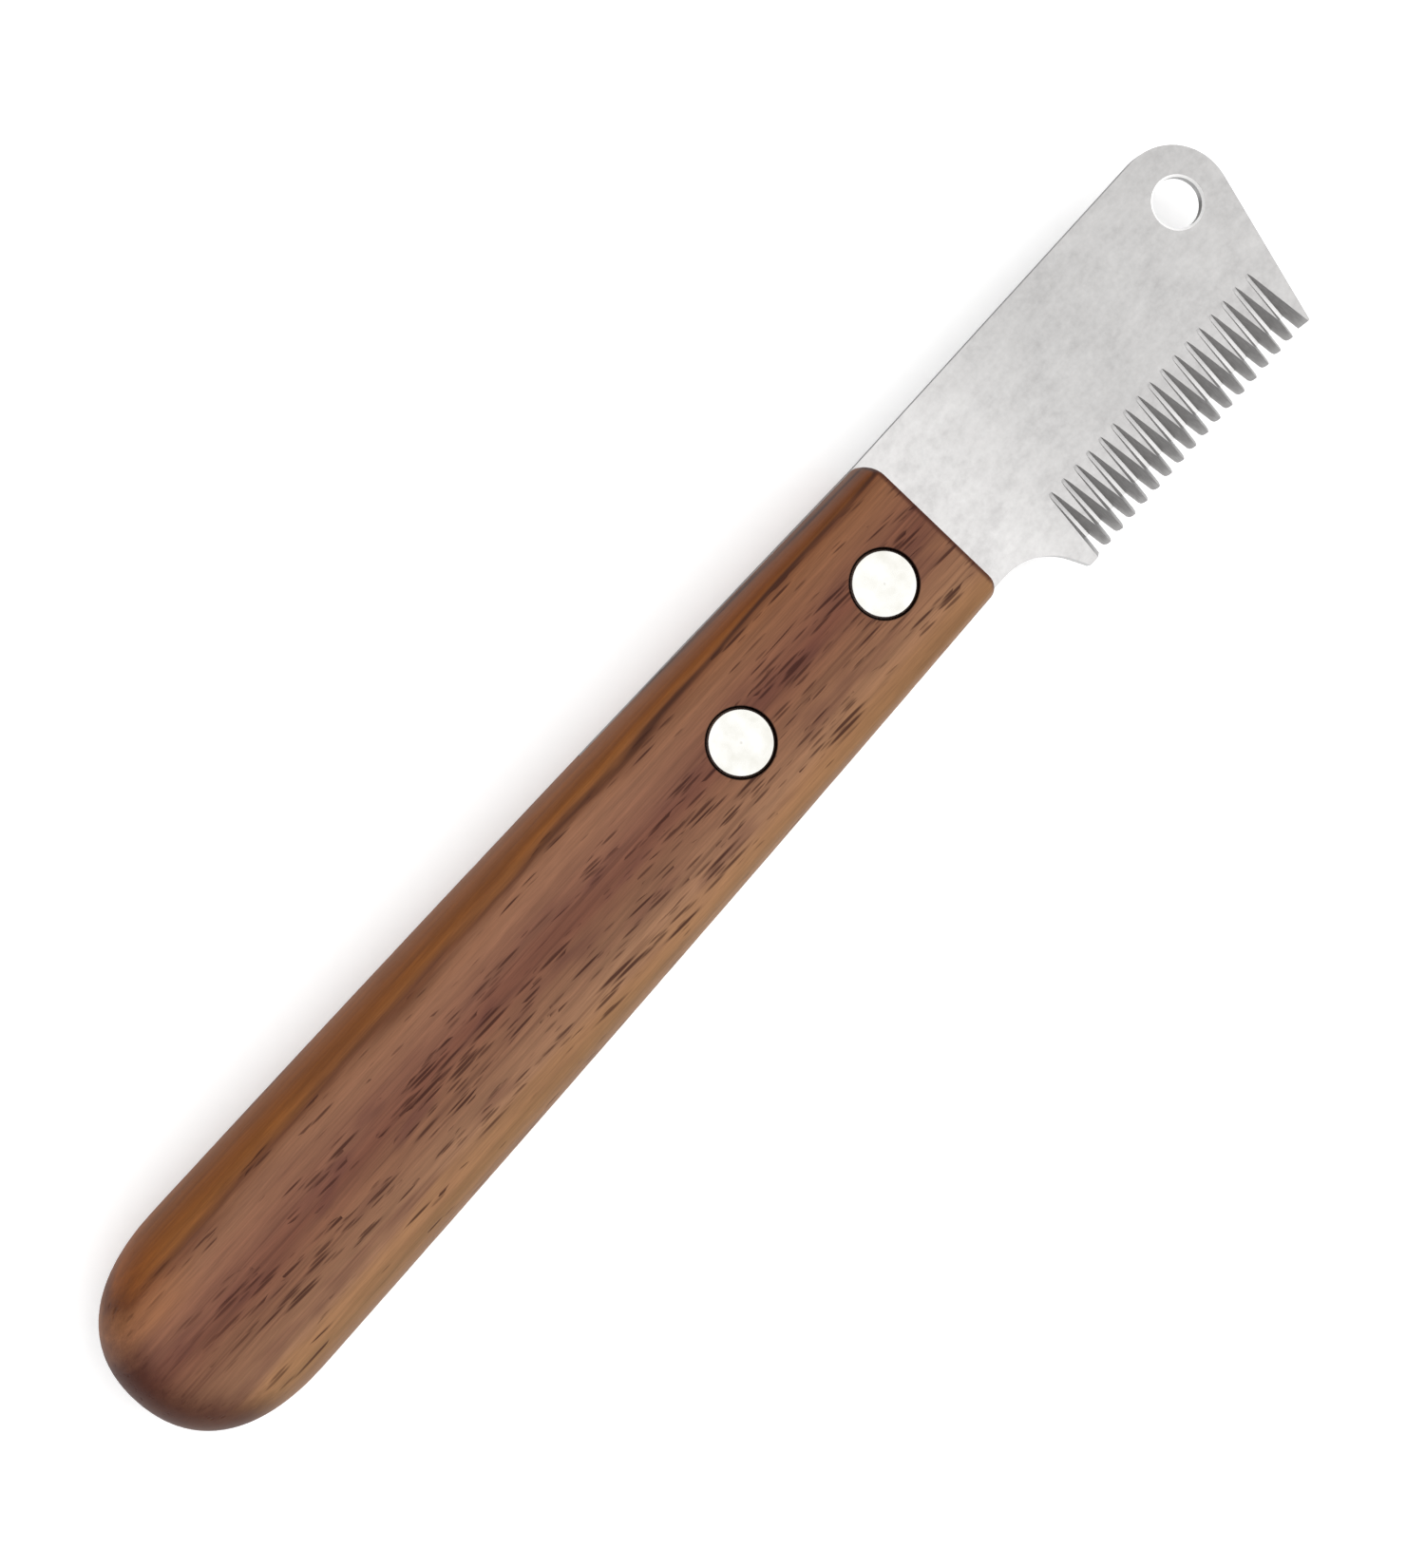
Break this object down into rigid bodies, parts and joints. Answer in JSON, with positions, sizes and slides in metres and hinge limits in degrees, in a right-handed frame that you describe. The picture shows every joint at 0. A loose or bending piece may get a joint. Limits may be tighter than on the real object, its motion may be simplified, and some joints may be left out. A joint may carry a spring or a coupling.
{
  "type": "stripping knife",
  "caption": "Hand stripping knife: flat toothed steel blade with a hanging hole, its half tang riveted into a crowned one-piece wooden handle with a rounded tail.",
  "frame": {"origin": "middle of the handle's length, on its flat underside", "axes": "+X from the handle to the blade's tip, teeth towards -Y, +Z out of the face whose grooves are ground"},
  "size_m": [0.1692, 0.0271, 0.0125],
  "materials": {
    "blade_steel": "satin stainless steel, darker ground grooves",
    "walnut": "satin oiled walnut with dark pores",
    "rivet_metal": "polished flush rivet heads"
  },
  "bodies": {
    "root": {"blade": "blade_steel", "handle": "walnut", "front_rivet_male": "rivet_metal", "front_rivet_female": "rivet_metal", "rear_rivet_male": "rivet_metal", "rear_rivet_female": "rivet_metal"}
  },
  "joints": []
}
